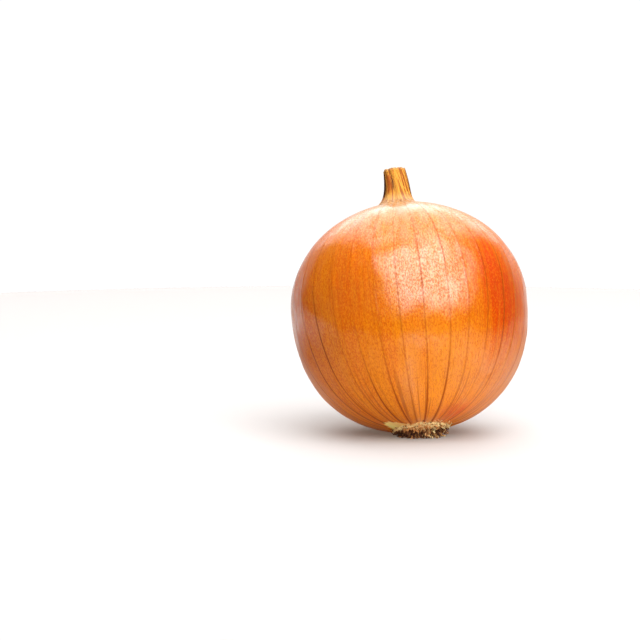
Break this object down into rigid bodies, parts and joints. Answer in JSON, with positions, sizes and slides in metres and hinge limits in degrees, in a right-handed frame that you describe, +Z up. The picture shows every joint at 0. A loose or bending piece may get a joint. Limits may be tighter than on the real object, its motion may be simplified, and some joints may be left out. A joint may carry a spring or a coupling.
{
  "type": "onion",
  "caption": "Whole round onion in its dry papery skin, with a short withered neck on top and a tuft of dry roots at the base, resting with its axis leaning back.",
  "frame": {"origin": "centre of the small flat spot on the bulb that the onion rests on, beside its root tuft", "axes": "+Z up; -Y is the side that the root tuft faces, and the neck leans back towards +Y and a little to -X"},
  "size_m": [0.0801, 0.0811, 0.0887],
  "materials": {
    "skin": "thin dry onion skin, glossy, orange to red-brown with darker veins",
    "dry_neck": "dry, fibrous and matt, golden brown",
    "dry_roots": "dry, brittle and matt, beige to dark brown"
  },
  "bodies": {
    "root": {"bulb": "skin", "neck": "dry_neck", "root_tuft": "dry_roots"}
  },
  "joints": []
}
